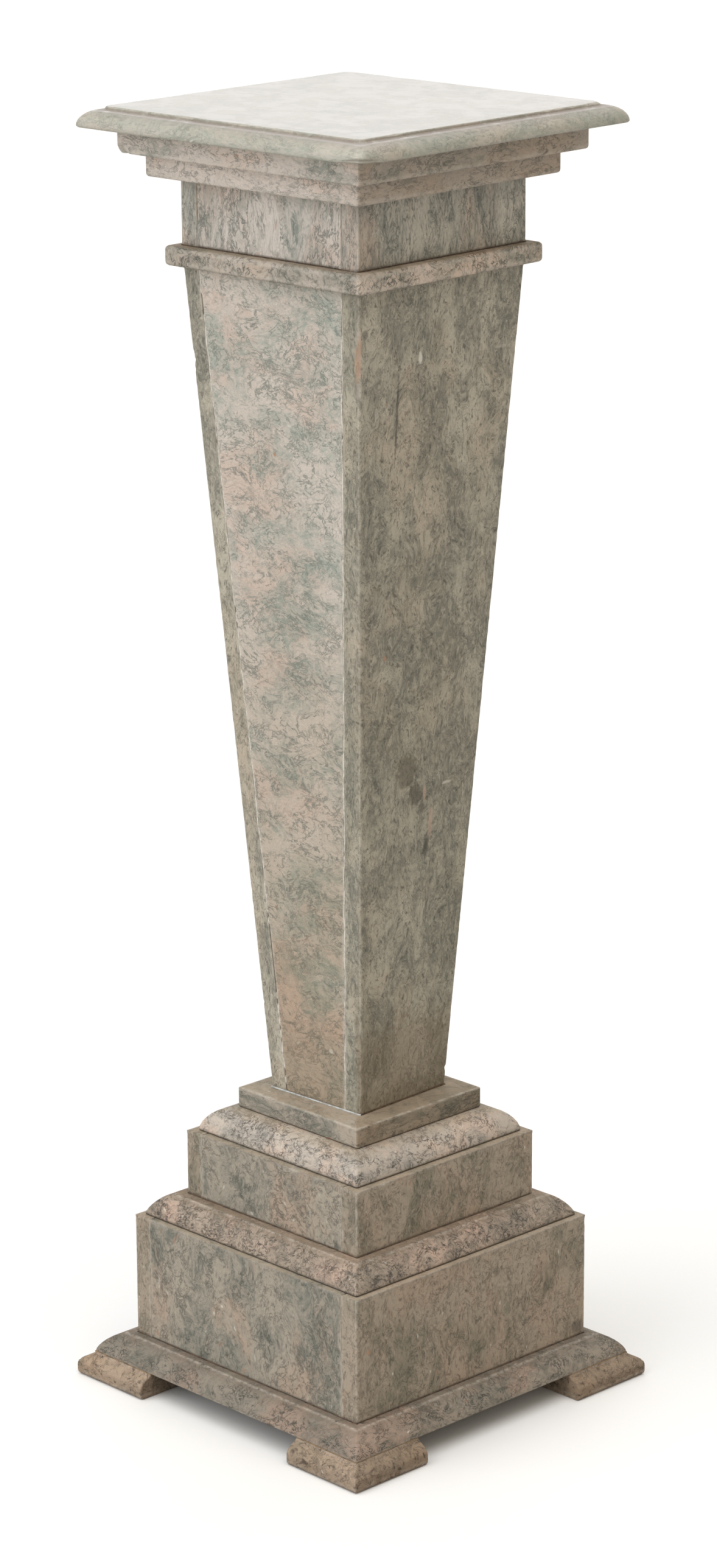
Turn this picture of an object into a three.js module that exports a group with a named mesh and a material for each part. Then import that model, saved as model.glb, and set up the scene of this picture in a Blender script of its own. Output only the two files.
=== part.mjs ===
// A tapering marble pedestal, stacked from sawn slabs: corner feet, a stepped and moulded base,
// a hollow shaft that widens upwards, a neck band, a frieze and a stepped cap.
// Millimetres, +Z up. The origin is on the floor, in the middle of the four feet.

import * as THREE from "three";

// Heights of the tiers, from the floor up. Together they make a pedestal 1120 tall.
const FOOT_HEIGHT = 21;
const PLINTH_HEIGHT = 18.5;
const LOWER_DADO_HEIGHT = 111;
const LOWER_MOULDING_HEIGHT = 20;
const UPPER_DADO_HEIGHT = 58.5;
const UPPER_MOULDING_HEIGHT = 22;
const SHAFT_BASE_HEIGHT = 18;
const SHAFT_HEIGHT = 719.5;
const NECK_BAND_HEIGHT = 17;
const FRIEZE_HEIGHT = 56.5;
const LOWER_CORBEL_HEIGHT = 19.5;
const UPPER_CORBEL_HEIGHT = 21.5;
const CAP_HEIGHT = 17;

// Widths of the tiers at their widest. Every tier is square in plan.
const FEET_WIDTH = 355;
const PLINTH_WIDTH = 332;
const LOWER_DADO_WIDTH = 278.5;
const LOWER_MOULDING_WIDTH = 266.5;
const UPPER_DADO_WIDTH = 213;
const UPPER_MOULDING_WIDTH = 198.5;
const SHAFT_BASE_WIDTH = 149;
const SHAFT_FOOT_WIDTH = 106.5;
const SHAFT_TOP_WIDTH = 199.5;
const NECK_BAND_WIDTH = 221.5;
const FRIEZE_WIDTH = 200.5;
const LOWER_CORBEL_WIDTH = 241.5;
const UPPER_CORBEL_WIDTH = 274;
const CAP_WIDTH = 324.5;

// Stone walls of the hollow boxes, the grouted joints between them and the beds between tiers
const WALL = 18;
const GROUT_JOINT = 1.2;
const BED_JOINT = 0.3;

// The shaft and all above it were set a little askew on the base.
const SHAFT_TURN_DEGREES = 2.5;
const SHAFT_SHIFT_X = -3.3;
const SHAFT_SHIFT_Y = 2;

// Cap edge: the flat top ends in a small cove, and a quarter-round runs from there to the lower edge.
const CAP_TOP_WIDTH = 289;
const CAP_COVE_DROP = 3;
const CAP_COVE_REACH = 3.2;
const CAP_COVE_HOLLOW = 0.25;
const CAP_LOWER_EASE = 1;
const CAP_FULLNESS = 2;
const CAP_CORNER_RADIUS = 7;

// Eased edges and plan corners of the plain slabs
const CORBEL_EASE = 2.5;
const CORBEL_CORNER_RADIUS = 2;
const BAND_EASE = 3;
const BAND_CORNER_RADIUS = 3;
const SHAFT_BASE_EASE = 1;
const BASE_CORNER_RADIUS = 1.5;

// Quarter-rounds of the base: how far each starts in from its widest edge, its upright lower fillet,
// the drop from the ledge to its upper edge, and its fullness, where 2 is an ellipse and less is flatter
const UPPER_ROUND = { reach: 23, fillet: 1, quirk: 0, fullness: 1.75 };
const LOWER_ROUND = { reach: 17, fillet: 1, quirk: 0.8, fullness: 1.4 };
const PLINTH_ROUND = { reach: 19, fillet: 1, quirk: 0.8, fullness: 1.45 };

// Corner feet: a sloped shoulder below the plinth, a rounded nose and an eased lower edge
const FOOT_LENGTH = 85;
const FOOT_NOSE_HEIGHT = 8.5;
const FOOT_NOSE_RISE = 4.2;
const FOOT_NOSE_REACH = 1.6;
const FOOT_EASE = 3;

// Fineness of the rounded forms
const ROUND_STEPS = 8;
const EASE_STEPS = 3;
const CORNER_STEPS = 3;

// Height of each tier's lower face
const PLINTH_Z = FOOT_HEIGHT;
const LOWER_DADO_Z = PLINTH_Z + PLINTH_HEIGHT;
const LOWER_MOULDING_Z = LOWER_DADO_Z + LOWER_DADO_HEIGHT;
const UPPER_DADO_Z = LOWER_MOULDING_Z + LOWER_MOULDING_HEIGHT;
const UPPER_MOULDING_Z = UPPER_DADO_Z + UPPER_DADO_HEIGHT;
const SHAFT_BASE_Z = UPPER_MOULDING_Z + UPPER_MOULDING_HEIGHT;
const SHAFT_Z = SHAFT_BASE_Z + SHAFT_BASE_HEIGHT;
const NECK_BAND_Z = SHAFT_Z + SHAFT_HEIGHT;
const FRIEZE_Z = NECK_BAND_Z + NECK_BAND_HEIGHT;
const LOWER_CORBEL_Z = FRIEZE_Z + FRIEZE_HEIGHT;
const UPPER_CORBEL_Z = LOWER_CORBEL_Z + LOWER_CORBEL_HEIGHT;
const CAP_Z = UPPER_CORBEL_Z + UPPER_CORBEL_HEIGHT;

// Honed marble of one overall tint
function marble(color, roughness = 0.6) {
  return new THREE.MeshStandardMaterial({ color, roughness, metalness: 0 });
}

const PALE_MARBLE = marble("#d3d0c6", 0.5);
const PINK_MARBLE = marble("#b5a698");
const STREAKED_MARBLE = marble("#a8a092");
const OLIVE_MARBLE = marble("#8f897a");
const GREEN_MARBLE = marble("#918d7f");
const WORN_MARBLE = marble("#8f8474", 0.75);

const pedestal = new THREE.Group();
const base = new THREE.Group();
const shaftAndCapital = new THREE.Group();
shaftAndCapital.rotation.z = THREE.MathUtils.degToRad(SHAFT_TURN_DEGREES);
shaftAndCapital.position.set(SHAFT_SHIFT_X, SHAFT_SHIFT_Y, 0);
pedestal.add(base, shaftAndCapital);

function addPiece(parent, name, geometry, material) {
  const piece = new THREE.Mesh(geometry, material);
  piece.name = name;
  parent.add(piece);
}

// Closes a stack of rings into one solid. The rings run from the lowest to the highest, each with
// the same number of points, counter-clockwise seen from above.
function loft(rings) {
  const count = rings[0].length;
  const positions = rings.flat().flatMap((point) => point.toArray());
  const indices = [];
  for (let level = 0; level + 1 < rings.length; level++) {
    for (let i = 0; i < count; i++) {
      const here = level * count + i;
      const next = level * count + ((i + 1) % count);
      indices.push(here, next, next + count);
      indices.push(here, next + count, here + count);
    }
  }
  const top = (rings.length - 1) * count;
  for (let i = 1; i + 1 < count; i++) {
    indices.push(0, i + 1, i);
    indices.push(top, top + i, top + i + 1);
  }
  const geometry = new THREE.BufferGeometry();
  geometry.setAttribute("position", new THREE.Float32BufferAttribute(positions, 3));
  geometry.setIndex(indices);
  geometry.computeVertexNormals();
  return geometry;
}

// A square outline with rounded corners at one height
function squareRing(half, z, radius) {
  const ring = [];
  for (let corner = 0; corner < 4; corner++) {
    for (let i = 0; i <= CORNER_STEPS; i++) {
      const angle = (Math.PI / 2) * (corner + i / CORNER_STEPS);
      const point = new THREE.Vector3(half - radius, half - radius, z);
      point.applyAxisAngle(new THREE.Vector3(0, 0, 1), (Math.PI / 2) * corner);
      point.x += radius * Math.cos(angle);
      point.y += radius * Math.sin(angle);
      ring.push(point);
    }
  }
  return ring;
}

function rectangleRing(lowX, highX, lowY, highY, z) {
  return [
    new THREE.Vector3(lowX, lowY, z),
    new THREE.Vector3(highX, lowY, z),
    new THREE.Vector3(highX, highY, z),
    new THREE.Vector3(lowX, highY, z),
  ];
}

// A slab whose edge profile runs round all four sides. A profile is a list of half-widths and
// heights above the slab's lower face, from the lowest to the highest.
function mouldedSlab(profile, z, radius) {
  return loft(profile.map((point) => squareRing(point.x, z + point.y, radius)));
}

// A convex curve from its lower outer end to its upper inner end
function quarterRound(outer, low, inner, high, fullness, steps) {
  const points = [];
  for (let i = 0; i <= steps; i++) {
    const angle = (Math.PI / 2) * (i / steps);
    const across = Math.cos(angle) ** (2 / fullness);
    const rise = Math.sin(angle) ** (2 / fullness);
    points.push(new THREE.Vector2(inner + (outer - inner) * across, low + (high - low) * rise));
  }
  return points;
}

// The eased lower arris of an upright edge, from the lower face up
function easedFoot(half, ease) {
  const points = [];
  for (let i = 0; i <= EASE_STEPS; i++) {
    const angle = (Math.PI / 2) * (i / EASE_STEPS);
    points.push(new THREE.Vector2(half - ease + ease * Math.sin(angle), ease - ease * Math.cos(angle)));
  }
  return points;
}

// A plain slab with eased lower and upper arrises. An ease of 0 keeps the upper arris sharp.
function plainSlabProfile(width, height, lowerEase, upperEase) {
  const half = width / 2;
  const top = height - BED_JOINT;
  const upper = upperEase > 0
    ? quarterRound(half, top - upperEase, half - upperEase, top, 2, EASE_STEPS)
    : [new THREE.Vector2(half, top)];
  return [...easedFoot(half, lowerEase), ...upper];
}

// A base slab: a short upright fillet, a quarter-round and a flat ledge on top
function baseMouldingProfile(width, height, round) {
  const half = width / 2;
  const top = height - BED_JOINT;
  const inner = half - round.reach;
  const profile = [new THREE.Vector2(half, 0)];
  profile.push(...quarterRound(half, round.fillet, inner, top - round.quirk, round.fullness, ROUND_STEPS));
  if (round.quirk > 0) {
    profile.push(new THREE.Vector2(inner - round.quirk, top));
  }
  return profile;
}

function capProfile() {
  const half = CAP_WIDTH / 2;
  const topHalf = CAP_TOP_WIDTH / 2;
  const coveFoot = CAP_HEIGHT - CAP_COVE_DROP;
  const coveOuter = topHalf + CAP_COVE_REACH;
  const profile = [new THREE.Vector2(half - CAP_LOWER_EASE, 0)];
  profile.push(...quarterRound(half, CAP_LOWER_EASE, coveOuter, coveFoot, CAP_FULLNESS, ROUND_STEPS));
  profile.push(
    new THREE.Vector2(topHalf + CAP_COVE_REACH * CAP_COVE_HOLLOW, coveFoot + CAP_COVE_DROP * CAP_COVE_HOLLOW),
  );
  profile.push(new THREE.Vector2(topHalf, CAP_HEIGHT));
  return profile;
}

// Four upright slabs round a hollow: the left and right ones run the full depth, and the front and
// back ones are set between them.
function addHollowBox(parent, name, footWidth, topWidth, z, height, faceMaterial, sideMaterial) {
  const levels = [
    { half: footWidth / 2, z },
    { half: topWidth / 2, z: z + height - BED_JOINT },
  ];
  const wallOf = (corners) => loft(levels.map(corners));
  const inset = WALL + GROUT_JOINT;
  const walls = {
    front: ({ half, z }) => rectangleRing(inset - half, half - inset, -half, WALL - half, z),
    back: ({ half, z }) => rectangleRing(inset - half, half - inset, half - WALL, half, z),
    left: ({ half, z }) => rectangleRing(-half, WALL - half, -half, half, z),
    right: ({ half, z }) => rectangleRing(half - WALL, half, -half, half, z),
  };
  for (const [side, corners] of Object.entries(walls)) {
    const isSide = side === "left" || side === "right";
    addPiece(parent, `${name}_${side}`, wallOf(corners), isSide ? sideMaterial : faceMaterial);
  }
}

// A foot fills one corner under the plinth. Its two outer sides carry the profile, and its two inner
// sides are cut square.
function footGeometry(signX, signY) {
  const half = FEET_WIDTH / 2;
  const top = FOOT_HEIGHT - BED_JOINT;
  const inner = half - FOOT_LENGTH;
  const shoulder = new THREE.Vector2(PLINTH_WIDTH / 2, top);
  const nose = new THREE.Vector2(half - FOOT_NOSE_REACH, FOOT_NOSE_HEIGHT + FOOT_NOSE_RISE);
  const noseRound = quarterRound(half, FOOT_NOSE_HEIGHT, nose.x, nose.y, 2, EASE_STEPS);
  const profile = [...easedFoot(half, FOOT_EASE), ...noseRound, shoulder];
  const rings = profile.map(({ x: outer, y: z }) => {
    const spanX = [signX * inner, signX * outer].sort((a, b) => a - b);
    const spanY = [signY * inner, signY * outer].sort((a, b) => a - b);
    return rectangleRing(...spanX, ...spanY, z);
  });
  return loft(rings);
}

function addFeet() {
  for (const [depth, signY] of [["front", -1], ["back", 1]]) {
    for (const [side, signX] of [["left", -1], ["right", 1]]) {
      addPiece(base, `foot_${depth}_${side}`, footGeometry(signX, signY), WORN_MARBLE);
    }
  }
}

function addBase() {
  const plinth = baseMouldingProfile(PLINTH_WIDTH, PLINTH_HEIGHT, PLINTH_ROUND);
  addPiece(base, "plinth_slab", mouldedSlab(plinth, PLINTH_Z, BASE_CORNER_RADIUS), GREEN_MARBLE);
  addHollowBox(
    base, "lower_dado", LOWER_DADO_WIDTH, LOWER_DADO_WIDTH, LOWER_DADO_Z, LOWER_DADO_HEIGHT,
    GREEN_MARBLE, OLIVE_MARBLE,
  );
  const lower = baseMouldingProfile(LOWER_MOULDING_WIDTH, LOWER_MOULDING_HEIGHT, LOWER_ROUND);
  addPiece(base, "lower_base_moulding", mouldedSlab(lower, LOWER_MOULDING_Z, BASE_CORNER_RADIUS), PINK_MARBLE);
  addHollowBox(
    base, "upper_dado", UPPER_DADO_WIDTH, UPPER_DADO_WIDTH, UPPER_DADO_Z, UPPER_DADO_HEIGHT,
    GREEN_MARBLE, PINK_MARBLE,
  );
  const upper = baseMouldingProfile(UPPER_MOULDING_WIDTH, UPPER_MOULDING_HEIGHT, UPPER_ROUND);
  addPiece(base, "upper_base_moulding", mouldedSlab(upper, UPPER_MOULDING_Z, BASE_CORNER_RADIUS), PINK_MARBLE);
  const slab = plainSlabProfile(SHAFT_BASE_WIDTH, SHAFT_BASE_HEIGHT, SHAFT_BASE_EASE, SHAFT_BASE_EASE);
  addPiece(base, "shaft_base_slab", mouldedSlab(slab, SHAFT_BASE_Z, BASE_CORNER_RADIUS), GREEN_MARBLE);
}

function addShaft() {
  addHollowBox(
    shaftAndCapital, "shaft", SHAFT_FOOT_WIDTH, SHAFT_TOP_WIDTH, SHAFT_Z, SHAFT_HEIGHT,
    PINK_MARBLE, OLIVE_MARBLE,
  );
}

function addCapital() {
  const band = plainSlabProfile(NECK_BAND_WIDTH, NECK_BAND_HEIGHT, BAND_EASE, BAND_EASE);
  addPiece(shaftAndCapital, "neck_band", mouldedSlab(band, NECK_BAND_Z, BAND_CORNER_RADIUS), PINK_MARBLE);
  addHollowBox(
    shaftAndCapital, "frieze", FRIEZE_WIDTH, FRIEZE_WIDTH, FRIEZE_Z, FRIEZE_HEIGHT,
    STREAKED_MARBLE, STREAKED_MARBLE,
  );
  const corbels = [
    ["lower_corbel_slab", LOWER_CORBEL_WIDTH, LOWER_CORBEL_HEIGHT, LOWER_CORBEL_Z],
    ["upper_corbel_slab", UPPER_CORBEL_WIDTH, UPPER_CORBEL_HEIGHT, UPPER_CORBEL_Z],
  ];
  for (const [name, width, height, z] of corbels) {
    const profile = plainSlabProfile(width, height, CORBEL_EASE, 0);
    addPiece(shaftAndCapital, name, mouldedSlab(profile, z, CORBEL_CORNER_RADIUS), PINK_MARBLE);
  }
  addPiece(shaftAndCapital, "cap_slab", mouldedSlab(capProfile(), CAP_Z, CAP_CORNER_RADIUS), PALE_MARBLE);
}

addFeet();
addBase();
addShaft();
addCapital();

export default pedestal;
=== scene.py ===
# %% [markdown]
# # A marble pedestal, slab by slab
# The real pedestal is a stack of sawn marble slabs. Some lie flat, with a moulded edge, and some stand
# on edge round a hollow, as the walls of four boxes. The solids of all these slabs are loaded first.
# They fix every place and size, and the cells below only dress them.

# %% Load the solids
import math
import bpy
import numpy as np
from mathutils import Matrix, Vector, noise


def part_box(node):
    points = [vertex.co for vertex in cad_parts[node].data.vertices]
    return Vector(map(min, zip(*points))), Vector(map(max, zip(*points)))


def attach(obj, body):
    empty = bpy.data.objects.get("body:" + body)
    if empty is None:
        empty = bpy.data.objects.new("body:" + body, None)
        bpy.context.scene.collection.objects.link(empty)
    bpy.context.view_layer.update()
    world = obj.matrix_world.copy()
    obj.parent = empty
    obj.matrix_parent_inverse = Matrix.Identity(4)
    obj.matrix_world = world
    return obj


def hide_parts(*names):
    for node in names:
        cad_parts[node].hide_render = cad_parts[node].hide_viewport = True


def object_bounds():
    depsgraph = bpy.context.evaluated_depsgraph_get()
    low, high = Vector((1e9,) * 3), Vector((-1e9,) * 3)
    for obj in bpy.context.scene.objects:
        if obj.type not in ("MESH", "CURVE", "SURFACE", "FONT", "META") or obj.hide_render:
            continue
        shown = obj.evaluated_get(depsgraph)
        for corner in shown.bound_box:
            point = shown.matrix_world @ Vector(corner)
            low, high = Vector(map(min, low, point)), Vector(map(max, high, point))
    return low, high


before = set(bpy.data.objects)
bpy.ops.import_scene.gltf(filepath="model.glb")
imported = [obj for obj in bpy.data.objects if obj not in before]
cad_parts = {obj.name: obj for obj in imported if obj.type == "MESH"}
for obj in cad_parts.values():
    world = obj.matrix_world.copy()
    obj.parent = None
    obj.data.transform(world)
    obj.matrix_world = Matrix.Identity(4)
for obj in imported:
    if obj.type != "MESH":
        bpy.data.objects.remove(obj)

cad_box = [list(corner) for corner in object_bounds()]
MM = 0.001
print("solids:", len(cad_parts), "box:", cad_box)

# %% [markdown]
# ## Two ways to stand
# The base stands square to the axes. The shaft and the capital were set on it a little askew: they are
# turned by a few degrees and pushed aside by a few millimetres. One matrix holds that, so that each
# slab above the base can be modelled square and then placed.

# %% Placings of the base and of the shaft
SHAFT_TURN = math.radians(2.5)
SHAFT_SHIFT = Vector((-3.3 * MM, 2.0 * MM, 0))
SET_SQUARE = Matrix.Identity(4)
SET_ASKEW = Matrix.Translation(SHAFT_SHIFT) @ Matrix.Rotation(SHAFT_TURN, 4, "Z")


def squared_points(node, placing):
    """A solid's points, turned back square to the axes."""
    back = placing.inverted()
    return np.array([back @ vertex.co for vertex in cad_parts[node].data.vertices])


cap_points = squared_points("cap_slab", SET_ASKEW)
print("cap width in mm:", np.ptp(cap_points[:, 0]) / MM)

# %% [markdown]
# ## The camera
# The photograph was taken with a long lens, from a little above and nearly corner on. The camera is
# placed by its bearing, its height angle and its distance from the middle of the pedestal. A camera
# looks along its own -Z axis, so its third matrix column points back from the object.

# %% Camera
CAMERA_BEARING = math.radians(46.05)
CAMERA_RISE = math.radians(16.25)
CAMERA_ROLL = math.radians(-0.305)
CAMERA_DISTANCE = 3.884
CAMERA_SIDE_STEP = 0.0007
CAMERA_DROP = 0.0168
LENS_MM = 104.92

middle = Vector((0, 0, cad_box[1][2] / 2))
backward = Vector((
    math.sin(CAMERA_BEARING) * math.cos(CAMERA_RISE),
    -math.cos(CAMERA_BEARING) * math.cos(CAMERA_RISE),
    math.sin(CAMERA_RISE),
))
level_right = Vector((math.cos(CAMERA_BEARING), math.sin(CAMERA_BEARING), 0))
level_up = backward.cross(level_right)
right = math.cos(CAMERA_ROLL) * level_right + math.sin(CAMERA_ROLL) * level_up
up = math.cos(CAMERA_ROLL) * level_up - math.sin(CAMERA_ROLL) * level_right
place = middle + CAMERA_SIDE_STEP * right - CAMERA_DROP * up + CAMERA_DISTANCE * backward

camera = bpy.data.objects.new("camera", bpy.data.cameras.new("camera"))
camera.data.lens = LENS_MM
camera.data.clip_end = 200
camera.matrix_world = Matrix.Translation(place) @ Matrix((right, up, backward)).transposed().to_4x4()
bpy.context.scene.collection.objects.link(camera)
bpy.context.scene.camera = camera
print("camera at", tuple(round(v, 3) for v in place))

# %% [markdown]
# ## Floor and light
# A studio shot on white: soft light from overhead and from the front left, a warm fill from the right,
# a weaker light for the back, and a pale floor that throws light back up. Sun lights with a wide angle
# stand in for the softboxes. Their light doesn't fall off with distance, so the floor stays white as far
# as the camera sees. The room itself is dim, but the camera sees a white backdrop. The view transform is
# Standard, so that a colour set on a shader comes out as that colour under full light.

# %% Floor
FLOOR_SIZE = 80.0
FLOOR_DROP = 0.0004


def make_floor_paint():
    """White to the camera, and greyer to the light that it throws back up."""
    paint = bpy.data.materials.new("pale_floor")
    paint.use_nodes = True
    nodes, links = paint.node_tree.nodes, paint.node_tree.links
    seen = nodes["Principled BSDF"]
    seen.inputs["Base Color"].default_value = (0.92, 0.92, 0.915, 1)
    seen.inputs["Roughness"].default_value = 0.9
    seen.inputs["Specular IOR Level"].default_value = 0.1
    thrown = nodes.new("ShaderNodeBsdfDiffuse")
    thrown.inputs["Color"].default_value = (0.5, 0.49, 0.47, 1)
    path = nodes.new("ShaderNodeLightPath")
    choice = nodes.new("ShaderNodeMixShader")
    links.new(path.outputs["Is Camera Ray"], choice.inputs[0])
    links.new(thrown.outputs[0], choice.inputs[1])
    links.new(seen.outputs[0], choice.inputs[2])
    links.new(choice.outputs[0], nodes["Material Output"].inputs["Surface"])
    return paint


def add_floor():
    half = FLOOR_SIZE / 2
    mesh = bpy.data.meshes.new("floor")
    corners = [(-half, -half), (half, -half), (half, half), (-half, half)]
    mesh.from_pydata([(x, y, -FLOOR_DROP) for x, y in corners], [], [(0, 1, 2, 3)])
    floor = bpy.data.objects.new("floor", mesh)
    bpy.context.scene.collection.objects.link(floor)
    mesh.materials.append(make_floor_paint())
    return floor


print("made", add_floor().name)

# %% Lights and world
SOFTNESS = math.radians(70)
ROOM_LIGHT = 0.25


def add_soft_sun(name, bearing, rise, strength, warmth=(1, 1, 1)):
    """A broad light from a bearing (degrees from the front, towards the right) and a rise."""
    data = bpy.data.lights.new(name, "SUN")
    data.color = warmth
    data.energy = strength
    data.angle = SOFTNESS
    light = bpy.data.objects.new(name, data)
    turn, tilt = math.radians(bearing), math.radians(rise)
    towards = Vector((math.sin(turn) * math.cos(tilt), -math.cos(turn) * math.cos(tilt), math.sin(tilt)))
    light.rotation_euler = towards.to_track_quat("Z", "Y").to_euler()
    bpy.context.scene.collection.objects.link(light)
    return light


add_soft_sun("key_light", -16, 18, 1.75)
add_soft_sun("fill_light", 84, 40, 0.72, (1, 0.87, 0.68))
add_soft_sun("back_light", -142, 25, 0.75)
add_soft_sun("top_light", 10, 82, 1.8)

world = bpy.data.worlds.new("studio")
world.use_nodes = True
room = world.node_tree.nodes["Background"]
room.inputs["Color"].default_value = (1, 1, 1, 1)
room.inputs["Strength"].default_value = ROOM_LIGHT
backdrop = world.node_tree.nodes.new("ShaderNodeBackground")
backdrop.inputs["Color"].default_value = (1, 1, 1, 1)
ray = world.node_tree.nodes.new("ShaderNodeLightPath")
seen = world.node_tree.nodes.new("ShaderNodeMixShader")
world.node_tree.links.new(ray.outputs["Is Camera Ray"], seen.inputs[0])
world.node_tree.links.new(room.outputs[0], seen.inputs[1])
world.node_tree.links.new(backdrop.outputs[0], seen.inputs[2])
world.node_tree.links.new(seen.outputs[0], world.node_tree.nodes["World Output"].inputs["Surface"])
bpy.context.scene.world = world
bpy.context.scene.view_settings.view_transform = "Standard"

# %% [markdown]
# ## Node helpers
# A shader is a tree of nodes. These few helpers keep the trees below short: each adds one node, sets
# its inputs to plain values or links, and gives back its output.

# %% Helpers that add shader nodes
def tint(code):
    """A screen colour such as c4b4a6 as linear RGBA."""
    channels = [int(code[i:i + 2], 16) / 255 for i in (0, 2, 4)]
    return [c / 12.92 if c <= 0.04045 else ((c + 0.055) / 1.055) ** 2.4 for c in channels] + [1.0]


def feed(tree, socket, value):
    """Links an output to a socket, or sets the socket to a plain value."""
    if isinstance(value, bpy.types.NodeSocket):
        tree.links.new(value, socket)
    else:
        socket.default_value = value


def calculate(tree, operation, *values, clamp=False):
    made = tree.nodes.new("ShaderNodeMath")
    made.operation = operation
    made.use_clamp = clamp
    for socket, value in zip(made.inputs, values):
        feed(tree, socket, value)
    return made.outputs[0]


def soft_step(tree, value, start, end):
    """0 at start and 1 at end, smooth between. With start above end it falls as the value climbs."""
    made = tree.nodes.new("ShaderNodeMapRange")
    made.interpolation_type = "SMOOTHSTEP"
    feed(tree, made.inputs["Value"], value)
    falls = start > end
    made.inputs["From Min"].default_value = min(start, end)
    made.inputs["From Max"].default_value = max(start, end)
    made.inputs["To Min"].default_value = float(falls)
    made.inputs["To Max"].default_value = float(not falls)
    return made.outputs[0]


def mix_colours(tree, share, under, over, way="MIX"):
    made = tree.nodes.new("ShaderNodeMix")
    made.data_type = "RGBA"
    made.blend_type = way
    feed(tree, made.inputs[0], share)
    feed(tree, made.inputs[6], under)
    feed(tree, made.inputs[7], over)
    return made.outputs[2]


def noise_field(tree, vector, scale, detail=2.0, roughness=0.5):
    made = tree.nodes.new("ShaderNodeTexNoise")
    feed(tree, made.inputs["Vector"], vector)
    made.inputs["Scale"].default_value = scale
    made.inputs["Detail"].default_value = detail
    made.inputs["Roughness"].default_value = roughness
    return made


def cell_field(tree, vector, scale):
    made = tree.nodes.new("ShaderNodeTexVoronoi")
    feed(tree, made.inputs["Vector"], vector)
    made.inputs["Scale"].default_value = scale
    return made


def vector_step(tree, operation, *values):
    made = tree.nodes.new("ShaderNodeVectorMath")
    made.operation = operation
    for socket, value in zip(made.inputs, values):
        feed(tree, socket, value)
    return made.outputs["Value" if operation == "LENGTH" else "Vector"]


def vector_sum(tree, first, second, factor):
    """first plus factor times second."""
    return vector_step(tree, "MULTIPLY_ADD", second, (factor, factor, factor), first)


SOCKETS = {"vector": "NodeSocketVector", "colour": "NodeSocketColor", "value": "NodeSocketFloat"}


def start_group(name, inputs, outputs):
    """A new node group with named sockets, each given as (name, kind, default)."""
    group = bpy.data.node_groups.new(name, "ShaderNodeTree")
    for label, kind, default in inputs:
        socket = group.interface.new_socket(label, in_out="INPUT", socket_type=SOCKETS[kind])
        if default is not None:
            socket.default_value = default
    for label, kind in outputs:
        group.interface.new_socket(label, in_out="OUTPUT", socket_type=SOCKETS[kind])
    return group, group.nodes.new("NodeGroupInput").outputs, group.nodes.new("NodeGroupOutput").inputs


print("node helpers ready")

# %% [markdown]
# ## The marble itself
# This marble is a pinkish limestone that was squeezed while soft. Grey-green clay hangs in it in clouds,
# drawn out in wisps that are sharp on one side, along a dark film, and fade on the other. A noise cut
# into bands does just that: the fraction left over after each whole step jumps at the film and then
# climbs slowly. Thin dark veins wander over all of it, along the middle level of a rough noise. The
# place that is looked up is bent by two other noises first, which curls everything. It is all sampled
# from a vector stored on each slab, the place in the block that it was sawn from, so that no two slabs
# match and a slab's edge shows the same layers as its face.

# %% Node group: wispy marble
def noise_mask(tree, vector, scale, detail, start, end, roughness=0.62):
    """A noise, cut softly between two levels."""
    return soft_step(tree, noise_field(tree, vector, scale, detail, roughness).outputs[0], start, end)


def wisps_and_films(tree, vector, scale, bands, film_width):
    """Masks of fading wisps and of the thin films along their sharp sides."""
    field = noise_field(tree, vector, scale, 7, 0.62)
    climb = calculate(tree, "FRACT", calculate(tree, "MULTIPLY", field.outputs[0], bands))
    wisp = calculate(tree, "POWER", calculate(tree, "SUBTRACT", 1.0, climb), 1.6)
    return wisp, soft_step(tree, climb, film_width, 0.0)


def vein_lines(tree, vector, scale, width):
    """Thin wandering lines, along the middle level of a noise."""
    field = noise_field(tree, vector, scale, 7, 0.62)
    level = calculate(tree, "ABSOLUTE", calculate(tree, "SUBTRACT", field.outputs[0], 0.5))
    return soft_step(tree, level, width, 0.0)


VEIN_SCALES = (16, 34, 60)
VEIN_WIDTH = 0.00045


def picked_spots(tree, vector, scale, reach, rarity):
    """Round spots in a few of the cells of a cell pattern."""
    cells = cell_field(tree, vector, scale)
    spot = soft_step(tree, cells.outputs["Distance"], reach, reach * 0.4)
    split = tree.nodes.new("ShaderNodeSeparateColor")
    feed(tree, split.inputs[0], cells.outputs["Color"])
    picked = soft_step(tree, split.outputs[0], rarity, min(1.0, rarity + 0.1))
    return calculate(tree, "MULTIPLY", spot, picked)


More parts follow.
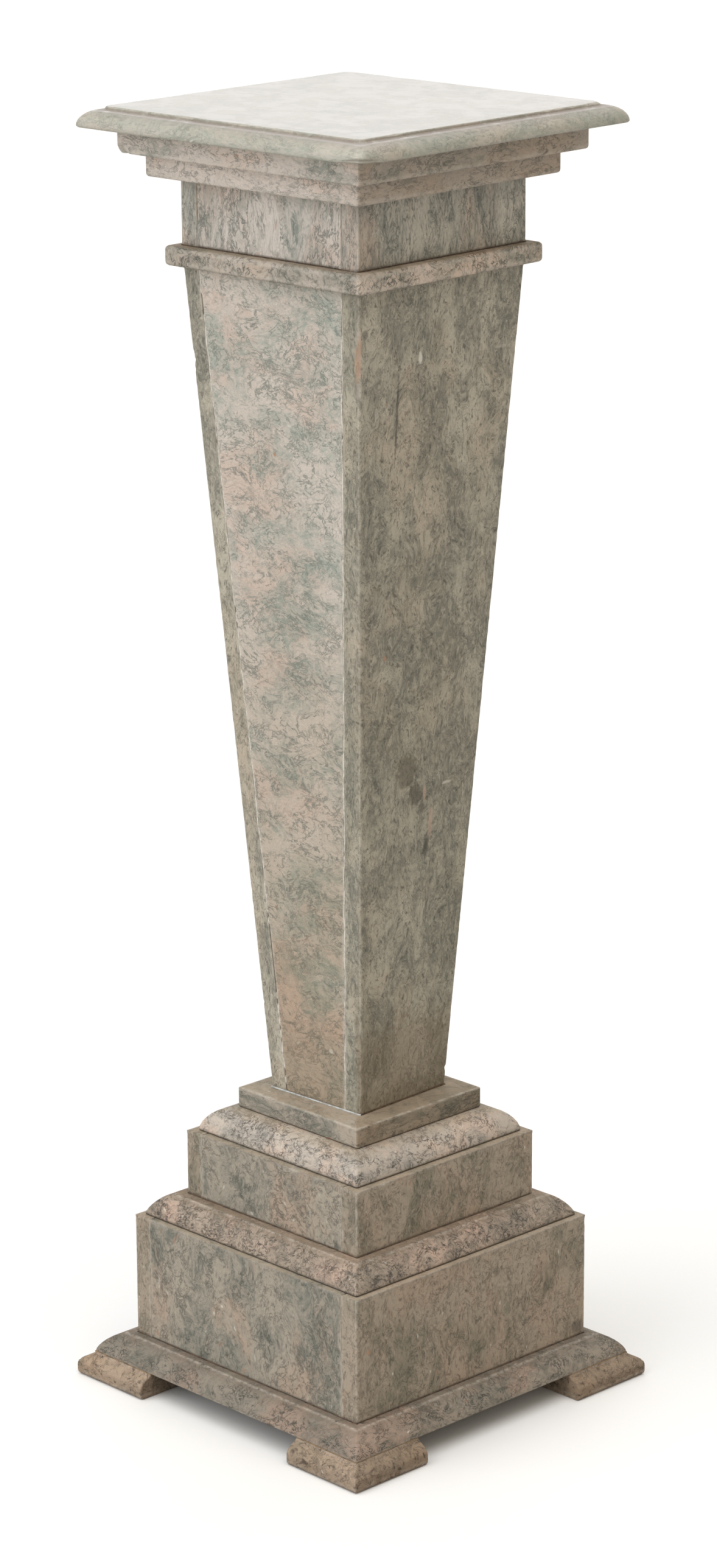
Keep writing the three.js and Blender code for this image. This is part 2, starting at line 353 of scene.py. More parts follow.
def build_marble_group():
    inputs = [
        ("Place in block", "vector", None),
        ("Ground", "colour", tint("c4b4a6")),
        ("Wisp", "colour", tint("a3a498")),
        ("Film", "colour", tint("6c7066")),
        ("Fleck", "colour", tint("dedad0")),
        ("Blush", "colour", tint("cba893")),
        ("Rust", "colour", tint("b97a55")),
        ("Blush strength", "value", 0.5),
        ("Cloudiness", "value", 0.5),
        ("Wisp strength", "value", 0.8),
        ("Film strength", "value", 0.7),
        ("Vein strength", "value", 0.7),
        ("Fleck strength", "value", 0.6),
        ("Rust strength", "value", 0.4),
        ("Crumb strength", "value", 0.5),
        ("Pit strength", "value", 0.3),
        ("Grain strength", "value", 0.7),
    ]
    outputs = [("Colour", "colour"), ("Films", "value"), ("Grain", "value")]
    group, given, result = start_group("wispy_marble", inputs, outputs)

    def times(mask, strength):
        return calculate(group, "MULTIPLY", mask, given[strength], clamp=True)

    in_block = given["Place in block"]
    broad = noise_field(group, in_block, 24, 2)
    bent = vector_sum(group, in_block, broad.outputs["Color"], 0.034)
    fine = noise_field(group, bent, 90, 3)
    curled = vector_sum(group, bent, fine.outputs["Color"], 0.011)

    blush = noise_mask(group, curled, 11, 6, 0.48, 0.6)
    colour = mix_colours(group, times(blush, "Blush strength"), given["Ground"], given["Blush"])

    cloud_noise = noise_field(group, curled, 19, 8, 0.66)
    cloud_level = calculate(group, "ADD", cloud_noise.outputs[0], given["Cloudiness"])
    cloud = soft_step(group, cloud_level, 0.9, 1.1)
    room = calculate(group, "MULTIPLY_ADD", cloud, 0.8, 0.2)
    wisp, film = wisps_and_films(group, curled, 21, 9, 0.13)
    small_wisp, small_film = wisps_and_films(group, curled, 62, 7, 0.17)
    drawn = calculate(group, "MULTIPLY", calculate(group, "MULTIPLY_ADD", small_wisp, 0.7, wisp), room)
    drawn = calculate(group, "MULTIPLY_ADD", cloud, 0.5, calculate(group, "MULTIPLY", drawn, 0.6))
    colour = mix_colours(group, times(drawn, "Wisp strength"), colour, given["Wisp"])

    crumbs = noise_mask(group, curled, 150, 5, 0.5, 0.62)
    colour = mix_colours(group, times(crumbs, "Crumb strength"), colour, given["Ground"])

    film = calculate(group, "MULTIPLY_ADD", small_film, 0.6, film)
    film = calculate(group, "MULTIPLY", film, noise_mask(group, bent, 45, 3, 0.42, 0.62))
    film = times(calculate(group, "MULTIPLY", film, room), "Film strength")
    vein = 0.0
    for scale in VEIN_SCALES:
        vein = calculate(group, "MAXIMUM", vein, vein_lines(group, curled, scale, VEIN_WIDTH * scale))
    vein = calculate(group, "MULTIPLY", vein, noise_mask(group, in_block, 38, 4, 0.34, 0.56))
    vein = times(vein, "Vein strength")
    lines = calculate(group, "MAXIMUM", film, vein)
    colour = mix_colours(group, lines, colour, given["Film"])

    fleck = picked_spots(group, bent, 165, 0.32, 0.95)
    colour = mix_colours(group, times(fleck, "Fleck strength"), colour, given["Fleck"])
    rust = picked_spots(group, curled, 120, 0.3, 0.97)
    colour = mix_colours(group, times(rust, "Rust strength"), colour, given["Rust"])

    pits = times(noise_mask(group, curled, 260, 5, 0.52, 0.68), "Pit strength")
    colour = mix_colours(group, pits, colour, given["Film"])

    grain = noise_field(group, in_block, 800, 4, 0.75)
    grain_offset = calculate(group, "SUBTRACT", grain.outputs[0], 0.5)
    grain_shade = calculate(group, "MULTIPLY_ADD", grain_offset, given["Grain strength"], 1.0)
    shade = group.nodes.new("ShaderNodeCombineColor")
    for channel in range(3):
        feed(group, shade.inputs[channel], grain_shade)
    colour = mix_colours(group, 1.0, colour, shade.outputs[0], "MULTIPLY")

    feed(group, result["Colour"], colour)
    feed(group, result["Films"], calculate(group, "MAXIMUM", lines, pits))
    feed(group, result["Grain"], grain.outputs[0])
    return group


MARBLE = build_marble_group()
print("marble group:", len(MARBLE.nodes), "nodes")

# %% [markdown]
# ## Wear, grime, dust, stains and painted light
# Three more effects are shared by all the stones. Arrises that hands and brushes reach are rubbed pale,
# and that pale line stands in for the highlight an arris catches too: partly wear, partly painted
# highlight. Fresh chips are paler still, while dirt stays dark in the joints. Whatever faces up gathers
# dust, and on the cap's flat top the same pale coat is painted sheen. Some faces are darkened as a whole,
# which multiplies their colour by a darkening colour: painted shade, side by side, on the flat slabs and
# the feet, and darker towards the foot and at the sawn ends on the walls. The meshes carry four numbers
# for this: how near a point is to an arris, how chipped it is, how near to a dirty joint, and how darkened.

# %% Node group: worn arrises with painted highlight, and grime
def build_wear_and_highlight_group():
    inputs = [
        ("Colour", "colour", None),
        ("Place in block", "vector", None),
        ("Arris", "value", 0.0),
        ("Chip", "value", 0.0),
        ("Joint", "value", 0.0),
        ("Rubbed and highlit", "colour", tint("d0c8bc")),
        ("Grime", "colour", tint("4a4034")),
        ("Rub and highlight strength", "value", 0.45),
        ("Grime strength", "value", 0.9),
    ]
    group, given, result = start_group("worn_and_highlit_arrises", inputs, [("Colour", "colour"), ("Dirt", "value")])
    patches = noise_field(group, given["Place in block"], 130, 4, 0.65)
    # Pale rubbed arrises: partly wear, partly painted highlight.
    rub_and_highlight_mask = soft_step(group, patches.outputs[0], 0.36, 0.62)
    rub_and_highlight = calculate(group, "MULTIPLY", given["Arris"], rub_and_highlight_mask)
    rub_and_highlight = calculate(group, "MULTIPLY", rub_and_highlight, given["Rub and highlight strength"])
    chip = calculate(group, "MULTIPLY", given["Chip"], 0.6)
    rub_and_highlight = calculate(group, "MAXIMUM", rub_and_highlight, chip, clamp=True)
    colour = mix_colours(group, rub_and_highlight, given["Colour"], given["Rubbed and highlit"])
    specks = noise_field(group, given["Place in block"], 300, 3, 0.7)
    pits = soft_step(group, specks.outputs[0], 0.6, 0.72)
    pit_dirt = calculate(group, "MULTIPLY", pits, given["Chip"])
    joint_mask = soft_step(group, patches.outputs[0], 0.18, 0.5)
    joint_dirt = calculate(group, "MULTIPLY", given["Joint"], joint_mask)
    dirt = calculate(group, "MAXIMUM", pit_dirt, joint_dirt)
    dirt = calculate(group, "MULTIPLY", dirt, given["Grime strength"], clamp=True)
    feed(group, result["Colour"], mix_colours(group, dirt, colour, given["Grime"]))
    feed(group, result["Dirt"], dirt)
    return group


WEAR_AND_HIGHLIGHT = build_wear_and_highlight_group()
print("wear group:", len(WEAR_AND_HIGHLIGHT.nodes), "nodes")


# %% Node group: dust and painted sheen on what faces up
LEVEL_NORMAL = 0.98


def build_dust_and_sheen_group():
    inputs = [
        ("Colour", "colour", None),
        ("Place in block", "vector", None),
        ("Normal", "vector", None),
        ("Dust and sheen", "colour", tint("a8977f")),
        ("Amount", "value", 0.5),
        ("Evenness", "value", 0.3),
        ("Level from", "value", 0.8),
    ]
    group, given, result = start_group("ledge_dust_and_sheen", inputs, [("Colour", "colour"), ("Dust and sheen share", "value")])
    # What faces up gets dust, and on the cap's flat top this pale coat is painted sheen.
    split = group.nodes.new("ShaderNodeSeparateXYZ")
    feed(group, split.inputs[0], given["Normal"])
    span = calculate(group, "SUBTRACT", LEVEL_NORMAL, given["Level from"])
    rise = calculate(group, "SUBTRACT", split.outputs[2], given["Level from"])
    facing = calculate(group, "DIVIDE", rise, span, clamp=True)
    drift = noise_field(group, given["Place in block"], 60, 4, 0.6)
    patch_mask = soft_step(group, drift.outputs[0], 0.25, 0.6)
    patch_mask = calculate(group, "MAXIMUM", patch_mask, given["Evenness"])
    dust_and_sheen_share = calculate(group, "MULTIPLY", facing, patch_mask)
    dust_and_sheen_share = calculate(group, "MULTIPLY", dust_and_sheen_share, given["Amount"], clamp=True)
    feed(group, result["Colour"], mix_colours(group, dust_and_sheen_share, given["Colour"], given["Dust and sheen"]))
    feed(group, result["Dust and sheen share"], dust_and_sheen_share)
    return group


DUST_AND_SHEEN = build_dust_and_sheen_group()
print("dust group:", len(DUST_AND_SHEEN.nodes), "nodes")

# %% Node group: darkened faces, partly painted shade
def build_darkening_group():
    inputs = [
        ("Colour", "colour", None),
        ("Place in block", "vector", None),
        ("Darkening", "value", 0.0),
        ("Darkening colour", "colour", (0.8, 0.77, 0.67, 1)),
        ("Strength", "value", 1.0),
    ]
    group, given, result = start_group("darkened_face", inputs, [("Colour", "colour")])
    # Multiplies by the darkening colour: painted shade on the sides of flat slabs and feet, darker towards
    # the foot on the walls.
    drift = noise_field(group, given["Place in block"], 9, 4, 0.6)
    depth = calculate(group, "MULTIPLY_ADD", soft_step(group, drift.outputs[0], 0.3, 0.7), 0.5, 0.72)
    share = calculate(group, "MULTIPLY", given["Darkening"], given["Strength"])
    share = calculate(group, "MULTIPLY", share, depth, clamp=True)
    feed(group, result["Colour"], mix_colours(group, share, given["Colour"], given["Darkening colour"], "MULTIPLY"))
    return group


DARKENING = build_darkening_group()
print("weather group:", len(DARKENING.nodes), "nodes")

# %% [markdown]
# ## One recipe, many stones
# Each slab came from another part of the quarry bed, so each stone below uses the same groups with its
# own colours. The shader stays in the material, and the groups only feed its colour, its roughness and
# the height of a bump.

# %% Recipe of a stone
BUMP_DEPTH = 0.4 * MM
DUST_AND_SHEEN_DULLING = 0.3
GRAIN_DULLING = 0.2
FILM_GROOVE = -0.5


def place_group(tree, group, values):
    made = tree.nodes.new("ShaderNodeGroup")
    made.node_tree = group
    for label, value in values.items():
        feed(tree, made.inputs[label], value)
    return made.outputs


def read_attribute(tree, name, output):
    made = tree.nodes.new("ShaderNodeAttribute")
    made.attribute_name = name
    return made.outputs[output]


def make_stone(name, marble, wear=None, dust=None, darkening=None, gloss=0.55, relief=0.35):
    """A marble with its own values for the shared groups."""
    material = bpy.data.materials.new(name)
    material.use_nodes = True
    tree = material.node_tree
    shader = tree.nodes["Principled BSDF"]
    in_block = read_attribute(tree, "place_in_block", "Vector")
    stone = place_group(tree, MARBLE, {"Place in block": in_block, **marble})
    geometry = tree.nodes.new("ShaderNodeNewGeometry")
    # Darkening: painted shade on the sides of flat slabs and feet, darker towards the foot on the walls.
    darkened_stone = place_group(tree, DARKENING, {
        "Colour": stone["Colour"],
        "Place in block": in_block,
        "Darkening": read_attribute(tree, "darkening", "Fac"),
        **(darkening or {"Strength": 0.0}),
    })
    # Dust on what faces up; on the cap's flat top the pale coat is painted sheen.
    dust_and_sheen = place_group(tree, DUST_AND_SHEEN, {
        "Colour": darkened_stone["Colour"],
        "Place in block": in_block,
        "Normal": geometry.outputs["Normal"],
        **(dust or {}),
    })
    # Pale rubbed arrises, partly wear and partly painted highlight, with paler chips and joint grime.
    worn = place_group(tree, WEAR_AND_HIGHLIGHT, {
        "Colour": dust_and_sheen["Colour"],
        "Place in block": in_block,
        "Arris": read_attribute(tree, "arris", "Fac"),
        "Chip": read_attribute(tree, "chip", "Fac"),
        "Joint": read_attribute(tree, "joint", "Fac"),
        **(wear or {}),
    })
    feed(tree, shader.inputs["Base Color"], worn["Colour"])
    dulled = calculate(tree, "MULTIPLY_ADD", dust_and_sheen["Dust and sheen share"], DUST_AND_SHEEN_DULLING, gloss)
    dulled = calculate(tree, "MULTIPLY_ADD", stone["Grain"], GRAIN_DULLING, dulled)
    feed(tree, shader.inputs["Roughness"], dulled)
    height = calculate(tree, "MULTIPLY_ADD", stone["Films"], FILM_GROOVE, stone["Grain"])
    bump = tree.nodes.new("ShaderNodeBump")
    bump.inputs["Strength"].default_value = relief
    bump.inputs["Distance"].default_value = BUMP_DEPTH
    feed(tree, bump.inputs["Height"], height)
    feed(tree, shader.inputs["Normal"], bump.outputs[0])
    return material


print("stone recipe ready")

# %% The stones
# On the corbel, band, slab, upper moulding, plinth and foot stones the darkening colour paints shade on the
# sides given further down; on the wall stones it darkens towards the foot.
STONES = {
    "cap": make_stone(
        "pale_cap_stone",
        {"Ground": tint("bdb8ac"), "Wisp": tint("9fa498"), "Film": tint("74776c"), "Blush": tint("c2b3a4"),
         "Cloudiness": 0.5, "Film strength": 0.8, "Vein strength": 0.5, "Grain strength": 0.4},
        {"Rubbed and highlit": tint("b9b1a4"), "Grime": tint("77655a"), "Rub and highlight strength": 0.2},
        # This pale coat on the cap's flat top is painted sheen.
        {"Dust and sheen": tint("dbd9d8"), "Amount": 0.85, "Evenness": 0.8, "Level from": 0.965}, gloss=0.3),
    "corbel": make_stone(
        "pink_corbel_stone",
        {"Ground": tint("ddd1c7"), "Wisp": tint("9a9e95"), "Film": tint("686a63"), "Blush": tint("dfc5b3"),
         "Cloudiness": 0.42, "Film strength": 1.0},
        dust={"Amount": 0.3}, darkening={"Darkening colour": (0.68, 0.66, 0.61, 1)}),
    "frieze": make_stone(
        "streaked_frieze_stone",
        {"Ground": tint("d9d0c7"), "Wisp": tint("858d85"), "Film": tint("505852"), "Blush": tint("d2b5a3"),
         "Cloudiness": 0.49, "Film strength": 0.9, "Vein strength": 0.7}),
    "frieze_side": make_stone(
        "streaked_side_stone",
        {"Ground": tint("cec9be"), "Wisp": tint("838681"), "Film": tint("4b4e48"), "Blush": tint("caad9b"),
         "Cloudiness": 0.5, "Film strength": 1.0, "Pit strength": 0.5},
        darkening={"Darkening colour": (0.93, 0.92, 0.88, 1)}),
    "band": make_stone(
        "curly_band_stone",
        {"Ground": tint("dacabc"), "Wisp": tint("918f82"), "Film": tint("51534b"), "Blush": tint("ddbda2"),
         "Cloudiness": 0.5, "Wisp strength": 0.9, "Film strength": 1.0, "Vein strength": 0.9},
        dust={"Amount": 0.5}, darkening={"Darkening colour": (0.73, 0.76, 0.76, 1)}),
    "shaft_face": make_stone(
        "nodular_shaft_stone",
        {"Ground": tint("d2c8bd"), "Wisp": tint("a3aaa0"), "Film": tint("737971"), "Blush": tint("d3b7a7"),
         "Cloudiness": 0.47, "Wisp strength": 0.85, "Film strength": 0.9, "Vein strength": 0.8,
         "Pit strength": 0.4, "Grain strength": 0.8},
        darkening={"Darkening colour": (0.74, 0.67, 0.58, 1)}),
    "shaft_side": make_stone(
        "olive_shaft_stone",
        {"Ground": tint("cfc7b7"), "Wisp": tint("918f83"), "Film": tint("615e54"), "Fleck": tint("d6cab8"),
         "Blush": tint("ccb8a3"), "Cloudiness": 0.52, "Wisp strength": 0.9, "Film strength": 0.8,
         "Vein strength": 0.5, "Pit strength": 0.8, "Grain strength": 1.0},
        darkening={"Darkening colour": (0.6, 0.61, 0.56, 1)}, relief=0.6),
    "slab": make_stone(
        "green_slab_stone",
        {"Ground": tint("b1a698"), "Wisp": tint("78786d"), "Film": tint("44453d"), "Blush": tint("b29f8b"),
         "Cloudiness": 0.5, "Film strength": 1.0},
        dust={"Amount": 0.5}, darkening={"Darkening colour": (0.72, 0.65, 0.56, 1)}),
    "upper_moulding": make_stone(
        "pink_moulding_stone",
        {"Ground": tint("c9beb1"), "Wisp": tint("888680"), "Film": tint("4d4943"), "Blush": tint("e0c6b2"),
         "Blush strength": 0.8, "Cloudiness": 0.47, "Wisp strength": 0.75, "Film strength": 1.0,
         "Vein strength": 1.0},
        {"Rub and highlight strength": 0.3}, {"Amount": 0.5}, {"Darkening colour": (0.84, 0.84, 0.84, 1)}),
    "lower_moulding": make_stone(
        "brown_moulding_stone",
        {"Ground": tint("ac9c8c"), "Wisp": tint("6f6a5e"), "Film": tint("3e3831"), "Blush": tint("cbad9a"),
         "Blush strength": 0.8, "Cloudiness": 0.48, "Wisp strength": 0.75, "Film strength": 1.0,
         "Vein strength": 1.0, "Pit strength": 0.6},
        {"Rub and highlight strength": 0.3}, {"Dust and sheen": tint("8f7e6a"), "Amount": 0.75, "Evenness": 0.6}, relief=0.7),
    "dado_face": make_stone(
        "green_dado_stone",
        {"Ground": tint("aba192"), "Wisp": tint("70736a"), "Film": tint("474840"), "Blush": tint("b39b87"),
         "Blush strength": 0.7, "Cloudiness": 0.49, "Film strength": 1.0, "Pit strength": 0.5}),
    "dado_side": make_stone(
        "brown_dado_stone",
        {"Ground": tint("ab9d8c"), "Wisp": tint("72705f"), "Film": tint("423e34"), "Blush": tint("b29680"),
         "Blush strength": 0.4, "Cloudiness": 0.47, "Film strength": 0.9, "Vein strength": 0.55,
         "Pit strength": 0.6}),
    "plinth": make_stone(
        "grey_plinth_stone",
        {"Ground": tint("978c7e"), "Wisp": tint("656459"), "Film": tint("36352e"), "Blush": tint("a48c7b"),
         "Blush strength": 0.9, "Cloudiness": 0.5, "Wisp strength": 0.75, "Film strength": 1.0,
         "Vein strength": 0.9},
        {"Rub and highlight strength": 0.35}, {"Dust and sheen": tint("7d7062"), "Amount": 0.6}, {"Darkening colour": (0.86, 0.88, 0.88, 1)}),
    "foot": make_stone(
        "worn_foot_stone",
        {"Ground": tint("a89480"), "Wisp": tint("796f5d"), "Film": tint("463c32"), "Blush": tint("ac9278"),
         "Cloudiness": 0.46, "Wisp strength": 0.6, "Film strength": 0.7, "Vein strength": 0.6,
         "Pit strength": 0.8},
        {"Rub and highlight strength": 0.25}, {"Amount": 0.4}, {"Darkening colour": (0.75, 0.74, 0.72, 1)}, gloss=0.75, relief=0.7),
}
print("stones:", sorted(STONES))

# %% [markdown]
# ## A worn block
# Every slab is made by the same function. It takes an outline, as seen on the slab's face, and a rim,
# the slab's edge in section. Rings of points are laid round the outline, one for each point of the rim,
# and joined with quads. A sharp arris of the rim is cut back at each ring point by a length that varies
# along the edge: mostly a small ease, here and there a chip. A chamfer that runs from one side of the
# arris to the other, part rounded and part flat, looks like broken stone, which a plain bevel doesn't.

# %% Points along an outline
CORNER_STEPS = 4


def mitres_of(before, normals, follows):
    """How far each corner moves when its two sides move in by their share of one unit."""
    shares = np.stack([np.roll(follows, 1), follows], 1)
    pairs = np.stack([before, normals], 1)
    return np.array([np.linalg.solve(pair, -share) for pair, share in zip(pairs, shares)])


def outline_samples(corners, follows, rounded, spacing):
    """Places, two kinds of mitre, outward directions and side numbers of points along an outline."""
    corners = np.array(corners, float)
    count = len(corners)
    along = np.roll(corners, -1, 0) - corners
    lengths = np.linalg.norm(along, axis=1)
    along = along / lengths[:, None]
    normals = np.stack([along[:, 1], -along[:, 0]], 1)
    before = np.roll(normals, 1, 0)
    profile_mitres = mitres_of(before, normals, np.array(follows, float))
    plain_mitres = mitres_of(before, normals, np.ones(count))
    rows = []
    for side in range(count):
        ahead = (side + 1) % count
        for step in range(1, CORNER_STEPS if rounded else 1):
            share = step / CORNER_STEPS
            direction = before[side] * (1 - share) + normals[side] * share
            direction = direction / np.linalg.norm(direction)
            rows.append((corners[side], profile_mitres[side], plain_mitres[side], direction, side))
        parts = max(2, round(lengths[side] / spacing))
        for step in range(parts + (1 if rounded else 0)):
            share = step / parts
            at_corner = step == 0 and not rounded
            spot = corners[side] * (1 - share) + corners[ahead] * share
            profile = profile_mitres[side] * (1 - share) + profile_mitres[ahead] * share
            plain = plain_mitres[side] * (1 - share) + plain_mitres[ahead] * share
            rows.append((spot, profile, plain, -plain if at_corner else normals[side], side))
    return tuple(np.array([row[part] for row in rows]) for part in range(5))


test_square = [(0, 0), (1, 0), (1, 1), (0, 1)]
print("points round a test square:", len(outline_samples(test_square, (1, 1, 1, 1), False, 0.1)[0]))

# %% Rings along a rim
FACE_MARGIN = 9 * MM
NEAR_ARRIS = np.array([0, 0.5, 1.0, 1.6, 2.4, 3.4, 5.0, 7.0]) * MM
RIM_STEP = 3 * MM
CLOSEST_RINGS = 0.3 * MM


def rim_stations(lengths, arrises):
    """Where rings are laid along a rim: close together near an arris, wider elsewhere."""
    wanted = list(lengths) + list(np.arange(0, lengths[-1], RIM_STEP))
    for arris in arrises:
        wanted += list(lengths[arris] + NEAR_ARRIS) + list(lengths[arris] - NEAR_ARRIS)
    kept = []
    for station in sorted(s for s in wanted if 0 <= s <= lengths[-1]):
        if not kept or station - kept[-1] > CLOSEST_RINGS:
            kept.append(station)
    kept[-1] = lengths[-1]
    return np.array(kept)


print("ring distances from an arris in mm:", NEAR_ARRIS / MM)

# %% Wear of one arris
EASED_CUT = 0.586
CHIPPED_CUT = 0.45
SLOW_WAVES, QUICK_WAVES, TINY_WAVES = 30, 150, 420


def wear(ease, chip=0.0, share=0.0, side_ease=(1, 1, 1, 1), joint=(0, 0, 0, 0), breaks=(), spread=2.0):
    """Wear of an arris in millimetres: its ease, the depth of chips and the share that is chipped.
    joint says on which sides dirt sits, spread how far it runs down the profile, and breaks lists
    larger chips as (u, v, radius, depth)."""
    return {"ease": ease * MM, "chip": chip * MM, "share": share, "sides": side_ease, "joint": joint,
            "breaks": breaks, "spread": spread * MM}


def arris_wear(spots, sides, seed, worn):
    """How far an arris is cut back at each outline point, and how much of that is chip."""
    size = np.empty(len(spots))
    broken = np.empty(len(spots))
    for i, (u, v) in enumerate(spots):
        slow = noise.noise(Vector((u * SLOW_WAVES, v * SLOW_WAVES, seed)))
        quick = noise.noise(Vector((u * QUICK_WAVES, v * QUICK_WAVES, seed + 5.3)))
        tiny = noise.noise(Vector((u * TINY_WAVES, v * TINY_WAVES, seed + 9.1)))
        level = 0.5 + 0.55 * slow + 0.5 * quick
        broken[i] = min(1, max(0, (level - 1 + worn["share"]) / 0.3))
        side = worn["sides"][sides[i]]
        size[i] = max(0.1 * MM, worn["ease"] * side * (1 + 0.22 * quick + 0.16 * tiny))
        size[i] += worn["chip"] * side * broken[i] * (0.8 + 0.5 * tiny)
        for centre_u, centre_v, radius, depth in worn["breaks"]:
            away = math.hypot(u - centre_u * MM, v - centre_v * MM) / (radius * MM)
            if away < 1:
                dent = (1 - away ** 3) * (0.9 + 0.5 * tiny + 0.3 * quick)
                size[i] = max(size[i], depth * MM * dent)
                broken[i] = max(broken[i], min(1, 1.6 * dent))
    return size, broken


def wear_rim(rim, lengths, stations, worn):
    """Insets and heights of every ring point, with each arris cut back by its size there."""
    def at(length):
        return np.stack([np.interp(length, lengths, rim[:, part]) for part in (0, 1)], -1)

    count = len(next(iter(worn.values()))[0])
    points = np.repeat(at(stations)[:, None, :], count, 1)
    for arris, (size, broken) in worn.items():
        for j, offset in enumerate(stations - lengths[arris]):
            inside = np.abs(offset) < size
            reach = size[inside]
            start = at(lengths[arris] - reach)
            end = at(lengths[arris] + reach)
            share = ((offset + reach) / (2 * reach))[:, None]
            chord = start + (end - start) * share
            cut = EASED_CUT + CHIPPED_CUT * broken[inside]
            points[j, inside] += (chord - points[j, inside]) * cut[:, None]
    return points


print("a worn arris:", wear(1.0, 2.0, 0.2))

# %% Building and dressing one block
STONE_SEED = 11.7
DARKENING_BLEND = 3 * MM
DIRT_SPREAD = 2 * MM
RUB_AND_HIGHLIGHT_REACH = 2.2 * MM
CHIP_HALO = 0.3 * MM
pieces = []


def finish_piece(mesh, name, material, node=None):
    """Links a mesh as a piece of the pedestal, under the root body, and hides the solid that it stands for.
    """
    mesh.materials.append(material)
    piece = bpy.data.objects.new(name, mesh)
    bpy.context.scene.collection.objects.link(piece)
    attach(piece, "root")
    if node:
        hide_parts(node)
    pieces.append(piece)
    return piece


def set_attribute(mesh, name, kind, values):
    field = "vector" if kind == "FLOAT_VECTOR" else "value"
    mesh.attributes.new(name, kind, "POINT").data.foreach_set(field, np.ravel(values).astype(np.float32))


def ring_faces(rings, count):
    """Quads between rings of points, and a face on each end."""
    order = np.arange(rings * count).reshape(rings, count)
    ahead = np.roll(order, -1, 1)
    quads = np.stack([order[:-1], ahead[:-1], ahead[1:], order[1:]], -1).reshape(-1, 4)
    return quads.tolist() + [order[0][::-1].tolist(), order[-1].tolist()]


def wear_masks(stations, lengths, arrises, worn, sides):
    """How near each ring point is to an arris, how chipped it is and how near to a dirty joint."""
    near, chipped, joint = np.zeros((3, len(stations), len(sides)))
    for arris, (size, broken) in worn.items():
        away = np.abs(stations - lengths[arris])[:, None]
        given = arrises[arris - 1]
        dirty = np.array(given["joint"])[sides]
        spread = np.where(stations < lengths[arris], given["spread"], DIRT_SPREAD)[:, None]
        near = np.maximum(near, np.clip(1.15 - away / RUB_AND_HIGHLIGHT_REACH, 0, 1))
        chipped = np.maximum(chipped, np.clip(1.3 - away / (size + CHIP_HALO), 0, 1) * broken)
        joint = np.maximum(joint, np.clip(1.2 - away / spread, 0, 1) * dirty)
    return near, chipped, joint


def worn_block(node, outline, rim, arrises, basis, placing, stone, grain, spacing=3 * MM, radius=0.0,
               follows=(1, 1, 1, 1), darkening=(0, 0), side_darkening=(0, 0, 0, 0)):
    """A slab with worn arrises. rim holds (inset, height) pairs, arrises maps a rim point to its wear,
    darkening is how much darker the slab's last face is at its foot and at its head, and side_darkening
    how much darker each side of its edge is: painted shade on flat slabs and feet, sawn ends on walls."""
    seed = STONE_SEED * (1 + sorted(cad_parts).index(node))
    samples = outline_samples(outline, follows, radius > 0, spacing)
    spots, profile_mitres, plain_mitres, outward, sides = samples
    first, last = rim[0], rim[-1]
    rim = np.array([(first[0] + FACE_MARGIN, first[1]), *rim, (last[0] + FACE_MARGIN, last[1])])
    lengths = np.concatenate([[0], np.cumsum(np.linalg.norm(np.diff(rim, axis=0), axis=1))])
    stations = rim_stations(lengths, [arris + 1 for arris in arrises])
    worn = {arris + 1: arris_wear(spots, sides, seed + arris, worn) for arris, worn in arrises.items()}
    points = wear_rim(rim, lengths, stations, worn)

    sound = np.interp(stations, lengths, rim[:, 0])
    margin = np.interp(stations, lengths, [FACE_MARGIN] + [0] * (len(rim) - 2) + [FACE_MARGIN])
    slid = points[:, :, 0] - sound[:, None]
    flat = spots[None] + (sound - margin)[:, None, None] * profile_mitres[None]
    flat = flat + (margin + radius)[:, None, None] * plain_mitres[None]
    flat = flat + outward[None] * (radius - slid)[:, :, None]
    origin, across, along, through = [np.array(part) for part in basis]
    local = origin + flat[..., :1] * across + flat[..., 1:] * along + points[..., 1:] * through

    mesh = bpy.data.meshes.new(node + "_stone")
    corners = [placing @ Vector(point) for point in local.reshape(-1, 3)]
    mesh.from_pydata(corners, [], ring_faces(*local.shape[:2]))
    mesh.shade_smooth()

    near, chipped, joint = wear_masks(stations, lengths, arrises, worn, sides)
    # Darkened share: darker towards the foot on a wall's last face, painted shade on the sides of flat
    # slabs and feet.
    on_face = np.clip((stations - lengths[-2]) / DARKENING_BLEND + 0.5, 0, 1)[:, None]
    rise = flat[..., 1] / max(flat[..., 1].max(), MM)
    darkened_share = on_face * np.clip(darkening[0] + (darkening[1] - darkening[0]) * rise, 0, 1)
    ends_darkened = np.array(side_darkening)[sides][None] * (1 - on_face * (darkening != (0, 0)))
    darkened_share = np.maximum(darkened_share, ends_darkened)
    set_attribute(mesh, "place_in_block", "FLOAT_VECTOR", local * np.array(grain) + seed)
    set_attribute(mesh, "place", "FLOAT_VECTOR", local)
    set_attribute(mesh, "arris", "FLOAT", near)
    set_attribute(mesh, "chip", "FLOAT", chipped)
    set_attribute(mesh, "joint", "FLOAT", joint)
    set_attribute(mesh, "darkening", "FLOAT", darkened_share)
    return finish_piece(mesh, node + "_stone", STONES[stone], node)


print("block maker ready")

# %% [markdown]
# ## Flat and moulded slabs
# The edge profile of a flat slab is read from its solid: at each level, the half-width there. Seen as a
# rim, it starts on the lower face a little inside the edge, climbs the profile and ends on the upper
# face. The inset of a rim point is how far it lies inside the widest outline.

# %% Slabs that lie flat
SQUARE = [(-1, -1), (1, -1), (1, 1), (-1, 1)]
LEVEL_AXES = ((0, 0, 0), (1, 0, 0), (0, 1, 0), (0, 0, 1))
ALL_SIDES = (1, 1, 1, 1)
